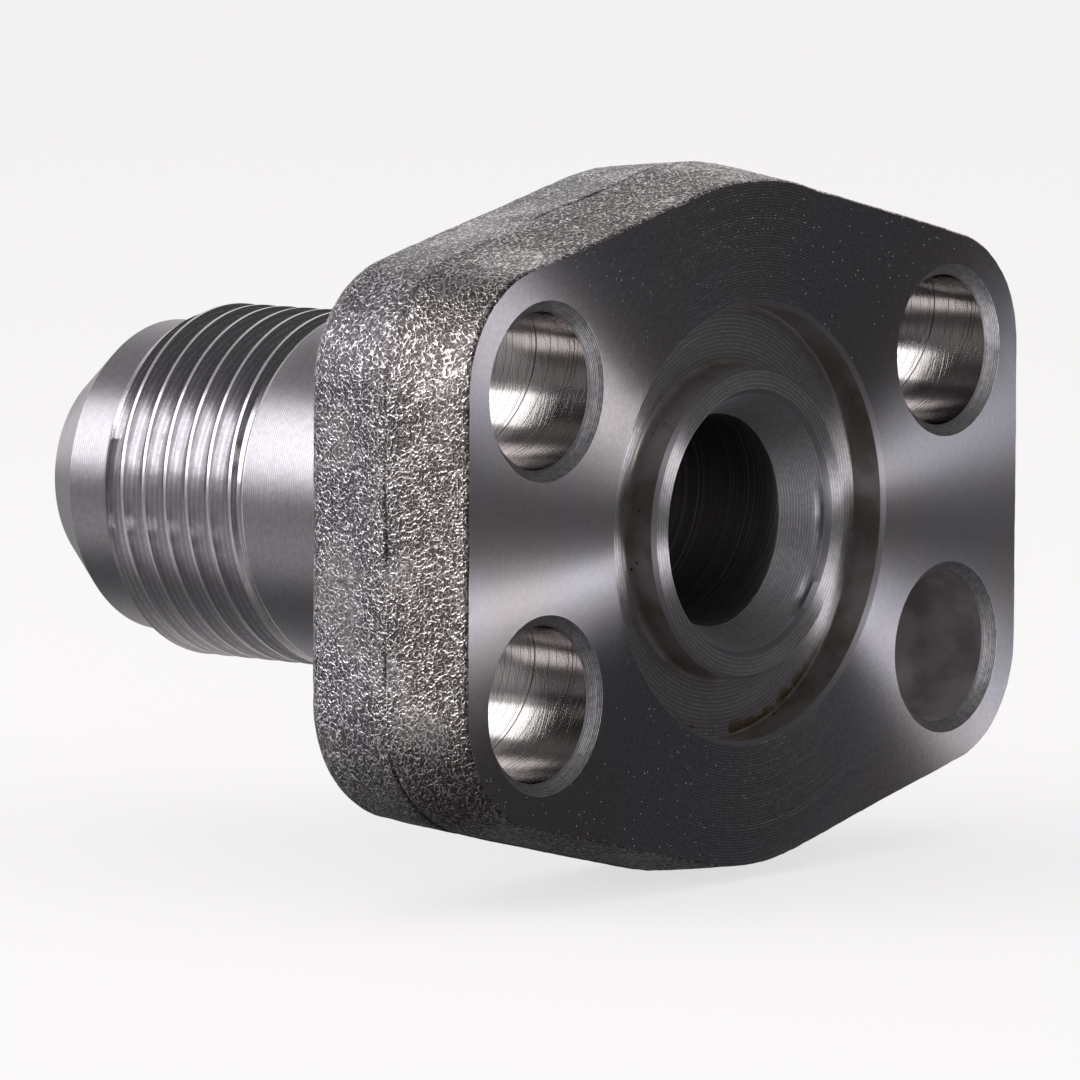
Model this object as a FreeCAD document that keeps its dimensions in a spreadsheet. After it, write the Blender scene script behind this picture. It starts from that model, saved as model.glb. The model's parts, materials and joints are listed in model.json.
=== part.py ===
import FreeCAD, Part
import math
import os
import Sketcher

# One-piece forged steel flange adapter, sizes in millimetres.
# A four-bolt flange head of the 3000 psi series, three quarter inch size, carries on
# its back a male stem for a 37 degree flare nut. The machined port face lies in the
# plane Y = 0 and looks along -Y, the bore axis is the Y axis, and the long side of
# the bolt rectangle runs along X.

SIZES = {
    # Flange head: outline at the port face, then how the forging swells behind it.
    "bolt_spacing_long": 47.6,
    "bolt_spacing_short": 22.2,
    "lobe_radius": 8.8,
    "crown_radius": 25.0,
    "flange_thickness": 14.8,
    "parting_depth": 6.6,
    "draft_front": 8.5,
    "draft_back": 5.0,
    "back_edge_radius": 2.0,
    # Four plain bolt holes.
    "bolt_hole_diameter": 11.2,
    "bolt_hole_chamfer": 0.8,
    "back_deburr": 0.4,
    # Seal groove in the face, and the narrow land that it leaves round the port.
    "groove_outer_diameter": 31.7,
    "groove_inner_diameter": 22.7,
    "groove_depth": 2.8,
    "groove_rim_chamfer": 0.3,
    "groove_corner_radius": 0.4,
    "land_recess": 0.15,
    "land_chamfer": 0.3,
    # Port: broken edge, lead-in cone and straight bore.
    "mouth_diameter": 19.5,
    "mouth_edge_break": 0.35,
    "lead_depth": 3.6,
    "bore_diameter": 15.5,
    # Stem: plain shank, threaded length at its crest diameter, pilot and nose.
    "overall_length": 60.4,
    "thread_diameter": 26.8,
    "root_fillet": 2.5,
    "thread_start": 52.3,
    "thread_lead_chamfer": 1.55,
    "nose_diameter": 16.6,
    "nose_edge_break": 0.2,
    "seat_angle": 37.0,
}

NODE = "flange_adapter"
FULL_TURN = 360.0
COUNTERSINK_ANGLE = 90.0
ON_AXIS = "0"
TOUCH = 1e-4

doc = FreeCAD.newDocument("FlangeAdapter")


def make_sheet():
    """The driving dimensions, one row each: name, value, and the name as alias."""
    sheet = doc.addObject("Spreadsheet::Sheet", "Sizes")
    for row, (name, value) in enumerate(SIZES.items(), start=1):
        sheet.set(f"A{row}", name)
        sheet.set(f"B{row}", str(value))
        sheet.setAlias(f"B{row}", name)
    doc.recompute()
    return sheet


sheet = make_sheet()
body = doc.addObject("PartDesign::Body", "FlangeAdapter")
body.Label = NODE


def worked_out(formula):
    """The present value of a formula of driving dimensions."""
    return float(body.evalExpression(formula))


def origin_plane(role):
    """One of the body's own origin planes."""
    return next(item for item in body.Origin.OriginFeatures if item.Role == role)


def new_sketch(name, role):
    """An empty sketch on one of the body's origin planes."""
    sketch = body.newObject("Sketcher::SketchObject", name)
    sketch.AttachmentSupport = [(origin_plane(role), "")]
    sketch.MapMode = "FlatFace"
    return sketch


def bind(sketch, kind, places, formula):
    """A dimension of the sketch whose value follows a formula."""
    index = sketch.addConstraint(Sketcher.Constraint(kind, *places, worked_out(formula)))
    sketch.setExpression(f"Constraints[{index}]", formula)


def turned_profile(name, corners):
    """A closed half section in the YZ plane: each corner is a pair of formulas, its
    distance behind the face and its distance from the bore axis."""
    sketch = new_sketch(name, "YZ_Plane")
    points = [FreeCAD.Vector(worked_out(depth), worked_out(radius), 0) for depth, radius in corners]
    count = len(points)
    for index in range(count):
        sketch.addGeometry(Part.LineSegment(points[index], points[(index + 1) % count]), False)
    for index in range(count):
        sketch.addConstraint(Sketcher.Constraint("Coincident", index, 2, (index + 1) % count, 1))
    for index, (depth, radius) in enumerate(corners):
        if depth == ON_AXIS:
            sketch.addConstraint(Sketcher.Constraint("PointOnObject", index, 1, -2))
        else:
            bind(sketch, "DistanceX", (-1, 1, index, 1), depth)
        if radius == ON_AXIS:
            sketch.addConstraint(Sketcher.Constraint("PointOnObject", index, 1, -1))
        else:
            bind(sketch, "DistanceY", (-1, 1, index, 1), radius)
    return sketch


def add_feature(kind, name, profile):
    """A feature made from a profile, as the body's new tip."""
    feature = body.newObject(f"PartDesign::{kind}", name)
    feature.Profile = profile
    body.Tip = feature
    return feature


def edges_where(feature, wanted):
    """The names of the feature's edges that pass a test."""
    found = []
    for number, edge in enumerate(feature.Shape.Edges, start=1):
        if wanted(edge):
            found.append(f"Edge{number}")
    return found


def lies_at(edge, depth):
    """Whether the whole edge lies in the plane at this depth behind the face."""
    box = edge.BoundBox
    return abs(box.YMin - depth) < TOUCH and abs(box.YMax - depth) < TOUCH


def is_circle(edge, radius):
    """Whether the edge is a full circle of this radius."""
    if not isinstance(edge.Curve, Part.Circle) or not edge.isClosed():
        return False
    return abs(edge.Curve.Radius - radius) < TOUCH


def must_change(feature, before, growing):
    """Stops the script where a feature added or cut nothing."""
    change = feature.Shape.Volume - before
    if growing != (change > 0):
        raise RuntimeError(f"{feature.Name} changed the volume by {change:.1f} cubic millimetres")


# The flange head. Its outline at the parting line is a crown arc at the top and at the
# bottom, concentric with the bore, and a lobe arc round each bolt hole, joined by
# tangent lines. The die's draft narrows it towards the face and towards the back.
SWELL = "Sizes.parting_depth * tan(Sizes.draft_front)"
CROWN = f"Sizes.crown_radius + {SWELL}"
LOBE = f"Sizes.lobe_radius + {SWELL}"
HALF_LONG = "Sizes.bolt_spacing_long / 2"
HALF_SHORT = "Sizes.bolt_spacing_short / 2"


def outline_arcs():
    """The six arcs, counter-clockwise from the top crown: which side of the bore each
    centre lies on, along X and along Z, and the arc's first and last angle."""
    across = worked_out(HALF_LONG)
    along = worked_out(HALF_SHORT)
    narrowing = worked_out(f"{CROWN} - ({LOBE})")
    # Direction in which the tangent line between crown and lobe faces, from +X.
    facing = math.atan2(along, across) + math.acos(narrowing / math.hypot(across, along))
    half = math.pi
    return (
        (0, 0, facing, half - facing),
        (-1, 1, half - facing, half),
        (-1, -1, half, half + facing),
        (0, 0, half + facing, 2 * half - facing),
        (1, -1, 2 * half - facing, 2 * half),
        (1, 1, 0.0, facing),
    )


def flange_outline():
    """The tangent outline of the flange head, on the parting plane."""
    sketch = new_sketch("FlangeOutline", "XZ_Plane")
    sketch.setExpression("AttachmentOffset.Base.z", "-Sizes.parting_depth")
    arcs = []
    for side_x, side_z, first, last in outline_arcs():
        centre = FreeCAD.Vector(side_x * worked_out(HALF_LONG), side_z * worked_out(HALF_SHORT), 0)
        radius = worked_out(LOBE if side_x else CROWN)
        circle = Part.Circle(centre, FreeCAD.Vector(0, 0, 1), radius)
        arcs.append(sketch.addGeometry(Part.ArcOfCircle(circle, first, last), False))
    for index, arc in enumerate(arcs):
        after = arcs[(index + 1) % len(arcs)]
        ends = (sketch.getPoint(arc, 2), sketch.getPoint(after, 1))
        line = sketch.addGeometry(Part.LineSegment(*ends), False)
        sketch.addConstraint(Sketcher.Constraint("Tangent", arc, 2, line, 1))
        sketch.addConstraint(Sketcher.Constraint("Tangent", line, 2, after, 1))
    crown_top, top_left, low_left, crown_low, low_right, top_right = arcs
    for crown in (crown_top, crown_low):
        sketch.addConstraint(Sketcher.Constraint("Coincident", crown, 3, -1, 1))
    sketch.addConstraint(Sketcher.Constraint("Equal", crown_top, crown_low))
    for lobe in (top_left, low_left, low_right):
        sketch.addConstraint(Sketcher.Constraint("Equal", top_right, lobe))
    for one, other, axis in ((top_right, top_left, -2), (top_right, low_right, -1), (low_right, low_left, -2)):
        sketch.addConstraint(Sketcher.Constraint("Symmetric", one, 3, other, 3, axis))
    bind(sketch, "DistanceX", (-1, 1, top_right, 3), HALF_LONG)
    bind(sketch, "DistanceY", (-1, 1, top_right, 3), HALF_SHORT)
    bind(sketch, "Radius", (crown_top,), CROWN)
    bind(sketch, "Radius", (top_right,), LOBE)
    return sketch


head = add_feature("Pad", "ForgedHead", flange_outline())
head.SideType = "Two sides"
head.setExpression("Length", "Sizes.parting_depth")
head.setExpression("Length2", "Sizes.flange_thickness - Sizes.parting_depth")
head.setExpression("TaperAngle", "-Sizes.draft_front")
head.setExpression("TaperAngle2", "-Sizes.draft_back")
doc.recompute()

# The stem, turned from the same forging: plain shank and threaded length at the thread's
# crest diameter, the lead chamfer down to the pilot, the seat cone and the flat nose.
THREAD = "Sizes.thread_diameter / 2"
PILOT = f"{THREAD} - Sizes.thread_lead_chamfer"
NOSE = "Sizes.nose_diameter / 2"
CONE_START = f"Sizes.overall_length - ({PILOT} - {NOSE}) / tan(Sizes.seat_angle)"

stem = add_feature("Revolution", "TurnedStem", turned_profile("StemProfile", (
    ("Sizes.parting_depth", ON_AXIS),
    ("Sizes.parting_depth", THREAD),
    ("Sizes.thread_start - Sizes.thread_lead_chamfer", THREAD),
    ("Sizes.thread_start", PILOT),
    (CONE_START, PILOT),
    ("Sizes.overall_length", NOSE),
    ("Sizes.overall_length", ON_AXIS),
)))
stem.ReferenceAxis = (stem.Profile[0], ["H_Axis"])
stem.Angle = FULL_TURN
doc.recompute()
must_change(stem, head.Shape.Volume, growing=True)

# The forging's rounded back edge, and the fillet where the shank leaves the head.
back = worked_out("Sizes.flange_thickness")
shank = worked_out(THREAD)
root_edges = edges_where(stem, lambda edge: lies_at(edge, back) and is_circle(edge, shank))
rim_edges = [name for name in edges_where(stem, lambda edge: lies_at(edge, back)) if name not in root_edges]

rim = body.newObject("PartDesign::Fillet", "BackEdge")
rim.Base = (stem, rim_edges)
rim.setExpression("Radius", "Sizes.back_edge_radius")
body.Tip = rim
doc.recompute()
must_change(rim, stem.Shape.Volume, growing=False)

root = body.newObject("PartDesign::Fillet", "StemRoot")
root.Base = (rim, edges_where(rim, lambda edge: lies_at(edge, back) and is_circle(edge, shank)))
root.setExpression("Radius", "Sizes.root_fillet")
body.Tip = root
doc.recompute()
must_change(root, rim.Shape.Volume, growing=True)


# The four bolt holes, drilled through from the face with a broken edge at each end.
def bolt_circles():
    """One circle for each bolt hole, on the port face."""
    sketch = new_sketch("BoltPattern", "XZ_Plane")
    across = worked_out(HALF_LONG)
    along = worked_out(HALF_SHORT)
    radius = worked_out("Sizes.bolt_hole_diameter / 2")
    upward = FreeCAD.Vector(0, 0, 1)
    holes = []
    for side_x, side_z in ((1, 1), (-1, 1), (-1, -1), (1, -1)):
        centre = FreeCAD.Vector(side_x * across, side_z * along, 0)
        holes.append(sketch.addGeometry(Part.Circle(centre, upward, radius), False))
    first, second, third, fourth = holes
    for hole in (second, third, fourth):
        sketch.addConstraint(Sketcher.Constraint("Equal", first, hole))
    for one, other, axis in ((first, second, -2), (second, third, -1), (third, fourth, -2)):
        sketch.addConstraint(Sketcher.Constraint("Symmetric", one, 3, other, 3, axis))
    bind(sketch, "DistanceX", (-1, 1, first, 3), HALF_LONG)
    bind(sketch, "DistanceY", (-1, 1, first, 3), HALF_SHORT)
    bind(sketch, "Radius", (first,), "Sizes.bolt_hole_diameter / 2")
    return sketch


bolt_holes = add_feature("Hole", "BoltHoles", bolt_circles())
doc.recompute()
bolt_holes.DepthType = "ThroughAll"
bolt_holes.DrillPoint = "Flat"
bolt_holes.HoleCutType = "Countersink"
bolt_holes.HoleCutCustomValues = True
bolt_holes.HoleCutCountersinkAngle = COUNTERSINK_ANGLE
bolt_holes.setExpression("Diameter", "Sizes.bolt_hole_diameter")
bolt_holes.setExpression("HoleCutDiameter", "Sizes.bolt_hole_diameter + 2 * Sizes.bolt_hole_chamfer")
doc.recompute()
must_change(bolt_holes, root.Shape.Volume, growing=False)

hole_radius = worked_out("Sizes.bolt_hole_diameter / 2")
deburr = body.newObject("PartDesign::Chamfer", "BackDeburr")
deburr.Base = (
    bolt_holes,
    edges_where(bolt_holes, lambda edge: lies_at(edge, back) and is_circle(edge, hole_radius)),
)
deburr.setExpression("Size", "Sizes.back_deburr")
body.Tip = deburr
doc.recompute()
must_change(deburr, bolt_holes.Shape.Volume, growing=False)

# The seal groove for an O-ring, turned into the face round the port.
GROOVE_WALL = "Sizes.groove_outer_diameter / 2"
BOSS_WALL = "Sizes.groove_inner_diameter / 2"

seal_groove = add_feature("Groove", "SealGroove", turned_profile("SealGrooveProfile", (
    (ON_AXIS, f"{GROOVE_WALL} + Sizes.groove_rim_chamfer"),
    ("Sizes.groove_rim_chamfer", GROOVE_WALL),
    ("Sizes.groove_depth - Sizes.groove_corner_radius", GROOVE_WALL),
    ("Sizes.groove_depth", f"{GROOVE_WALL} - Sizes.groove_corner_radius"),
    ("Sizes.groove_depth", BOSS_WALL),
    (ON_AXIS, BOSS_WALL),
)))
seal_groove.ReferenceAxis = (seal_groove.Profile[0], ["H_Axis"])
seal_groove.Angle = FULL_TURN
doc.recompute()
must_change(seal_groove, deburr.Shape.Volume, growing=False)

# The port: the land faced a little below the flange face, its outer and inner edges
# broken, the lead-in cone, the straight bore and the broken edge at the nose.
MOUTH = "Sizes.mouth_diameter / 2"
BORE = "Sizes.bore_diameter / 2"
LAND_EDGE = "Sizes.land_recess + Sizes.land_chamfer"
MID_GROOVE = "(Sizes.groove_outer_diameter + Sizes.groove_inner_diameter) / 4"

port = add_feature("Groove", "Port", turned_profile("PortProfile", (
    (ON_AXIS, ON_AXIS),
    (ON_AXIS, MID_GROOVE),
    (LAND_EDGE, MID_GROOVE),
    (LAND_EDGE, BOSS_WALL),
    ("Sizes.land_recess", f"{BOSS_WALL} - Sizes.land_chamfer"),
    ("Sizes.land_recess", MOUTH),
    ("Sizes.land_recess + Sizes.mouth_edge_break", f"{MOUTH} - Sizes.mouth_edge_break"),
    ("Sizes.lead_depth", BORE),
    ("Sizes.overall_length - Sizes.nose_edge_break", BORE),
    ("Sizes.overall_length", f"{BORE} + Sizes.nose_edge_break"),
    ("Sizes.overall_length", ON_AXIS),
)))
port.ReferenceAxis = (port.Profile[0], ["H_Axis"])
port.Angle = FULL_TURN
doc.recompute()
must_change(port, seal_groove.Shape.Volume, growing=False)

# Nothing is written unless every feature and the finished solid are sound.
for item in doc.Objects:
    if "Invalid" in item.State or "Error" in item.State:
        raise RuntimeError(f"{item.Name} failed: {item.State}")
if body.Shape.isNull() or not body.Shape.isValid() or len(body.Shape.Solids) != 1:
    raise RuntimeError(f"{NODE} is not one sound solid")

os.makedirs("parts", exist_ok=True)
body.Shape.exportStep(f"parts/{NODE}.step")
box = body.Shape.optimalBoundingBox()
print(f"{NODE}: {box.XLength:.2f} x {box.YLength:.2f} x {box.ZLength:.2f} mm")
print(f"volume {body.Shape.Volume:.0f} cubic mm, centre of mass {body.Shape.Solids[0].CenterOfMass}")
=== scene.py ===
import json
import math

import bpy
import numpy as np
from mathutils import Matrix, Vector
from mathutils.geometry import delaunay_2d_cdt


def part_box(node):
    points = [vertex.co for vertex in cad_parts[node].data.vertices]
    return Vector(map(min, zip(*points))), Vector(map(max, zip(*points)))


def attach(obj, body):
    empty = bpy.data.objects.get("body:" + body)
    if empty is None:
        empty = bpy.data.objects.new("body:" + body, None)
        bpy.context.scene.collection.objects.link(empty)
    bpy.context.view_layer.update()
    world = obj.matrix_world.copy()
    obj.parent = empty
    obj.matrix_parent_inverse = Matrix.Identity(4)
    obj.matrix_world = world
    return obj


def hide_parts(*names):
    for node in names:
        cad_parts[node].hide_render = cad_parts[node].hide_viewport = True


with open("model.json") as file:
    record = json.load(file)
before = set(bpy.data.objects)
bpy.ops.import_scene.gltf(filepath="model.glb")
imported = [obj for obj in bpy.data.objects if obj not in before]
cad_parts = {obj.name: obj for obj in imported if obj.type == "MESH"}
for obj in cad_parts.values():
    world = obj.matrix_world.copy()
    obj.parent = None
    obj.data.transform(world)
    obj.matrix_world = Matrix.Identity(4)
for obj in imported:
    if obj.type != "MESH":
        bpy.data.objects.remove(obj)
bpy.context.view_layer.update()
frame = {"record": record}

# The forged sides of the flange head. Two dies closed on hot steel and part a little
# behind the port face, so the sides draft away from that line both ways. Scale between
# the dies and the steel left the whole skin covered in small wormy dents.
MM = 0.001
BOLTS = next(mount for mount in frame["record"]["mounts"] if mount["kind"] == "bolt_pattern")
BOLT_X = BOLTS["dims"]["spacing_x_mm"] / 2 * MM
BOLT_Z = BOLTS["dims"]["spacing_y_mm"] / 2 * MM
CROWN_RADIUS = 25.0 * MM
LOBE_RADIUS = 8.8 * MM
HEAD_DEPTH = 14.8 * MM
PARTING_DEPTH = 6.6 * MM
FRONT_DRAFT = math.radians(8.5)
BACK_DRAFT = math.radians(5.0)
BACK_EDGE = 2.0 * MM
FACE_BREAK = 0.12 * MM
SKIN_STEP = 0.31 * MM
SEAM_HALF_WIDTH = 0.17 * MM
SEAM_DEPTH = 0.10 * MM
LAP_X = -25.0 * MM
LAP_Z = -22.5 * MM
LAP_REACH = 5.5 * MM
LAP_DEPTH = 0.15 * MM

patches = []


def add_patch(points, faces, finish, seam=None):
    """Keeps one stretch of the surface: its points, its faces of three or four corners
    in anticlockwise order seen from outside, the name of its finish, and how much of the
    black seam each point shows, from 0 to 1."""
    points = np.asarray(points, float).reshape(-1, 3)
    seam = np.zeros(len(points)) if seam is None else seam.ravel()
    patches.append((points, np.asarray(faces), finish, seam))


def grid_faces(rows, columns, closed=True):
    """The four-cornered faces of a grid of points: each joins two neighbours of one row
    to the same two of the next, and a closed grid joins the last column to the first."""
    row, column = np.meshgrid(
        np.arange(rows - 1), np.arange(columns if closed else columns - 1), indexing="ij"
    )
    after = (column + 1) % columns
    corners = (row * columns + column, (row + 1) * columns + column,
               (row + 1) * columns + after, row * columns + after)
    return np.stack(corners, -1).reshape(-1, 4)


def hashed(cells, seed):
    """A repeatable number from 0 to 1 for every whole-numbered cell of space: the three
    cell numbers are multiplied by large odd numbers, mixed and cut to 16 bits."""
    a, b, c = (cells[..., k].astype(np.int64) for k in range(3))
    mixed = a * 73856093 ^ b * 19349663 ^ c * 83492791 ^ seed * 2654435761
    mixed = (mixed ^ (mixed >> 13)) * 1274126177
    return ((mixed ^ (mixed >> 16)) & 0xFFFF) / 65535.0


def mottle(points, size, seed):
    """Smooth noise from 0 to 1 with lumps of about the given size: the eight hashed
    corners of a point's cell, blended by the smooth step of its place between them."""
    scaled = points / size + 1000.0
    cell = np.floor(scaled)
    part = scaled - cell
    part = part * part * (3 - 2 * part)
    total = np.zeros(points.shape[:-1])
    for corner in np.ndindex(2, 2, 2):
        weight = np.prod(np.where(np.array(corner) == 1, part, 1 - part), axis=-1)
        total += weight * hashed(cell + np.array(corner), seed)
    return total


def pressed_in(points):
    """How deep the forged skin lies under the die's own surface, in metres: broad
    hollows, shallow dents and the finer print of scale, added together."""
    hollows = mottle(points, 9.0 * MM, 3) * 0.10 * MM
    dents = mottle(points, 2.6 * MM, 5) * 0.07 * MM
    print_of_scale = np.abs(2 * mottle(points, 0.95 * MM, 7) - 1) * 0.05 * MM
    return hollows + dents + print_of_scale


def head_outline():
    """Points of the outline at the port face and the outward direction at each: two
    crown arcs round the bore and four lobe arcs round the bolt holes, each arc being
    its centre plus its radius times the direction, joined by straight tangent lines."""
    reach = math.hypot(BOLT_X, BOLT_Z)
    facing = math.atan2(BOLT_Z, BOLT_X) + math.acos((CROWN_RADIUS - LOBE_RADIUS) / reach)
    half = math.pi
    arcs = (
        (0, 0, CROWN_RADIUS, facing, half - facing),
        (-1, 1, LOBE_RADIUS, half - facing, half),
        (-1, -1, LOBE_RADIUS, half, half + facing),
        (0, 0, CROWN_RADIUS, half + facing, 2 * half - facing),
        (1, -1, LOBE_RADIUS, 2 * half - facing, 2 * half),
        (1, 1, LOBE_RADIUS, 0.0, facing),
    )
    points, ways = [], []
    for index, (side_x, side_z, radius, first, last) in enumerate(arcs):
        count = round(radius * (last - first) / SKIN_STEP)
        turn = np.linspace(first, last, count + 1)
        way = np.stack([np.cos(turn), np.sin(turn)], 1)
        arc = np.array([side_x * BOLT_X, side_z * BOLT_Z]) + radius * way
        next_x, next_z, next_radius = arcs[(index + 1) % len(arcs)][:3]
        end = np.array([next_x * BOLT_X, next_z * BOLT_Z]) + next_radius * way[-1]
        steps = round(math.dist(arc[-1], end) / SKIN_STEP)
        along = np.linspace(0, 1, steps + 1)[1:-1, None]
        points += [arc, arc[-1] + (end - arc[-1]) * along]
        ways += [way, np.repeat(way[-1:], steps - 1, axis=0)]
    return np.concatenate(points), np.concatenate(ways)


def swell(depth):
    """How far the die's surface stands outside the face's outline at a depth: it grows
    at the front draft up to the parting line and shrinks at the back draft behind it."""
    front = np.minimum(depth, PARTING_DEPTH) * math.tan(FRONT_DRAFT)
    return front - np.maximum(depth - PARTING_DEPTH, 0) * math.tan(BACK_DRAFT)


def side_profile():
    """Depth, swell and lean of each row of the sides, lean being 0 where the skin faces
    outwards and a quarter turn where it faces back. Rows crowd together at the parting
    line, and the last ones follow the arc of the rounded back edge."""
    run = np.linspace(0.14 * MM, HEAD_DEPTH - BACK_EDGE, 42)
    near = PARTING_DEPTH + np.array([-0.45, -0.22, -0.1, 0.0, 0.1, 0.22, 0.45]) * MM
    run = np.sort(np.concatenate([run[np.abs(run - PARTING_DEPTH) > 0.6 * MM], near]))
    turn = np.linspace(0, math.pi / 2, 10)[1:]
    middle = swell(HEAD_DEPTH - BACK_EDGE) - BACK_EDGE
    depth = np.concatenate([run, HEAD_DEPTH - BACK_EDGE + BACK_EDGE * np.sin(turn)])
    out = np.concatenate([swell(run), middle + BACK_EDGE * np.cos(turn)])
    lean = np.concatenate([np.zeros(len(run)), turn])
    return depth, out, lean


outline, outward = head_outline()
side_depth, side_swell, side_lean = side_profile()


def forged_sides():
    """The grid of the sides: outline point plus swell along its outward direction, at
    each row's depth, then moved inwards by the dents and by the seam's narrow valley,
    which is deepest where the skin lapped over itself at one corner. Returns the seam too."""
    points = np.empty((len(side_depth), len(outline), 3))
    points[..., 0] = outline[:, 0] + outward[:, 0] * side_swell[:, None]
    points[..., 1] = side_depth[:, None]
    points[..., 2] = outline[:, 1] + outward[:, 1] * side_swell[:, None]
    ways = np.empty_like(points)
    ways[..., 0] = outward[:, 0] * np.cos(side_lean)[:, None]
    ways[..., 1] = np.sin(side_lean)[:, None]
    ways[..., 2] = outward[:, 1] * np.cos(side_lean)[:, None]
    wander = (mottle(points, 5.0 * MM, 11) - 0.5) * 0.7 * MM
    seam = np.exp(-((points[..., 1] - PARTING_DEPTH - wander) / SEAM_HALF_WIDTH) ** 2)
    lap = np.exp(-(np.hypot(points[..., 0] - LAP_X, points[..., 2] - LAP_Z) / LAP_REACH) ** 2)
    seam *= np.clip(2.4 * mottle(points, 4.0 * MM, 13) - 0.75 + 1.5 * lap, 0, 1)
    sunk = pressed_in(points) + seam * (SEAM_DEPTH + LAP_DEPTH * lap)
    return points - ways * sunk[..., None], seam


sides, sides_seam = forged_sides()
face_edge = sides[0] * [1, 0, 1]
face_edge[:, [0, 2]] -= outward * FACE_BREAK
add_patch(
    np.concatenate([face_edge[None], sides]),
    grid_faces(len(sides) + 1, len(outline)),
    "forged_skin",
    np.concatenate([sides_seam[:1], sides_seam]),
)


def socket(sockets, name):
    """A node's socket by its number or its identifier."""
    if isinstance(name, int):
        return sockets[name]
    return next(one for one in sockets if one.identifier == name)


def put(tree, kind, inputs=None, **settings):
    """Places a node in a tree and returns it. Settings are the node's own properties,
    and inputs are its sockets, each given a value or the output that feeds it."""
    node = tree.nodes.new(kind)
    for name, value in settings.items():
        setattr(node, name, value)
    for name, value in (inputs or {}).items():
        if isinstance(value, bpy.types.NodeSocket):
            tree.links.new(value, socket(node.inputs, name))
        else:
            socket(node.inputs, name).default_value = value
    return node


def reckon(tree, operation, *values):
    """A Math node's result for one to three values or outputs."""
    return put(tree, "ShaderNodeMath", dict(enumerate(values)), operation=operation).outputs[0]


def blend(tree, share, one, other):
    """A colour between two colours, by a share from 0 to 1."""
    inputs = {"Factor_Float": share, "A_Color": one, "B_Color": other}
    return socket(put(tree, "ShaderNodeMix", inputs, data_type="RGBA").outputs, "Result_Color")


def ramp(tree, value, low, high):
    """A smooth step of a value, from 0 at low to 1 at high."""
    inputs = {"Value": value, "From Min": low, "From Max": high}
    return put(tree, "ShaderNodeMapRange", inputs, interpolation_type="SMOOTHSTEP").outputs["Result"]


def split(tree, places):
    """The X, Y and Z of every place, by name."""
    return put(tree, "ShaderNodeSeparateXYZ", {"Vector": places}).outputs


def noise(tree, places, scale, detail):
    """Soft lumps of noise from 0 to 1, at a scale of lumps to the metre."""
    inputs = {"Vector": places, "Scale": scale, "Detail": detail}
    return put(tree, "ShaderNodeTexNoise", inputs).outputs["Fac"]


def emboss(tree, shader, height, distance, strength):
    """Tilts a shader's surface as if its height rose by the distance, in metres."""
    inputs = {"Height": height, "Distance": distance, "Strength": strength}
    relief = put(tree, "ShaderNodeBump", inputs)
    tree.links.new(relief.outputs["Normal"], shader.inputs["Normal"])


def steel(name, colour, roughness):
    """A new material with a bare metal shader, and its tree, shader and places."""
    material = bpy.data.materials.new(name)
    material.use_nodes = True
    material.diffuse_color = colour
    tree = material.node_tree
    tree.nodes.clear()
    inputs = {"Base Color": colour, "Roughness": roughness, "Metallic": 1.0}
    shader = put(tree, "ShaderNodeBsdfPrincipled", inputs)
    put(tree, "ShaderNodeOutputMaterial", {"Surface": shader.outputs["BSDF"]})
    places = put(tree, "ShaderNodeTexCoord").outputs["Object"]
    return material, tree, shader, places


def curls(tree, places, scale, width):
    """Thin curling ridges, from 0 to 1: smooth noise is cut at its middle value, and
    every point nearer to that value than the width stands up."""
    lumps = noise(tree, places, scale, 0.0)
    return ramp(tree, reckon(tree, "ABSOLUTE", reckon(tree, "SUBTRACT", lumps, 0.5)), width, 0.0)


def forged_skin():
    """Dark steel covered in curling bright ridges, some wider and some finer, with a dark film
    between them that is warm in front of the parting line and cold behind it. The tallest
    ridges carry painted white glints. Patches are rubbed flatter and paler, and the seam is black."""
    material, tree, shader, places = steel("forged_skin", (0.30, 0.285, 0.285, 1), 0.30)
    wide = curls(tree, places, 2300.0, 0.13)
    narrow = curls(tree, places, 4000.0, 0.17)
    grain = noise(tree, places, 5200.0, 0.0)
    rubbed = ramp(tree, noise(tree, places, 150.0, 3.0), 0.48, 0.66)
    depth = split(tree, places)["Y"]
    behind = ramp(tree, depth, PARTING_DEPTH - 1.5 * MM, PARTING_DEPTH + 2.5 * MM)
    seam = put(tree, "ShaderNodeAttribute", attribute_name="seam").outputs["Fac"]
    ridges = reckon(tree, "MULTIPLY_ADD", narrow, 0.7, wide)
    height = reckon(tree, "MULTIPLY_ADD", grain, 0.9, ridges)
    emboss(tree, shader, height, 0.00003, reckon(tree, "MULTIPLY_ADD", rubbed, -0.6, 1.0))
    # The dark film in the hollows between ridges is partly forged scale and partly painted shade of the
    # hollows; the ridge tops are the pale metal.
    tops = ramp(tree, reckon(tree, "MULTIPLY_ADD", rubbed, 0.25, height), 0.60, 2.05)
    film = blend(tree, behind, (0.098, 0.082, 0.080, 1), (0.076, 0.071, 0.080, 1))
    film = blend(tree, rubbed, film, (0.14, 0.125, 0.125, 1))
    metal = blend(tree, behind, (0.58, 0.53, 0.53, 1), (0.42, 0.40, 0.435, 1))
    # Painted glints: the tallest ridges are painted near-white, a highlight put into the colour.
    painted_glints = ramp(tree, height, 1.85, 2.15)
    skin = blend(tree, painted_glints, blend(tree, tops, film, metal), (0.95, 0.93, 0.92, 1))
    tree.links.new(blend(tree, seam, skin, (0.012, 0.010, 0.010, 1)), shader.inputs["Base Color"])
    tree.links.new(reckon(tree, "MULTIPLY_ADD", tops, -0.20, 0.44), shader.inputs["Roughness"])
    return material


finishes = {"forged_skin": forged_skin()}

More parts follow.
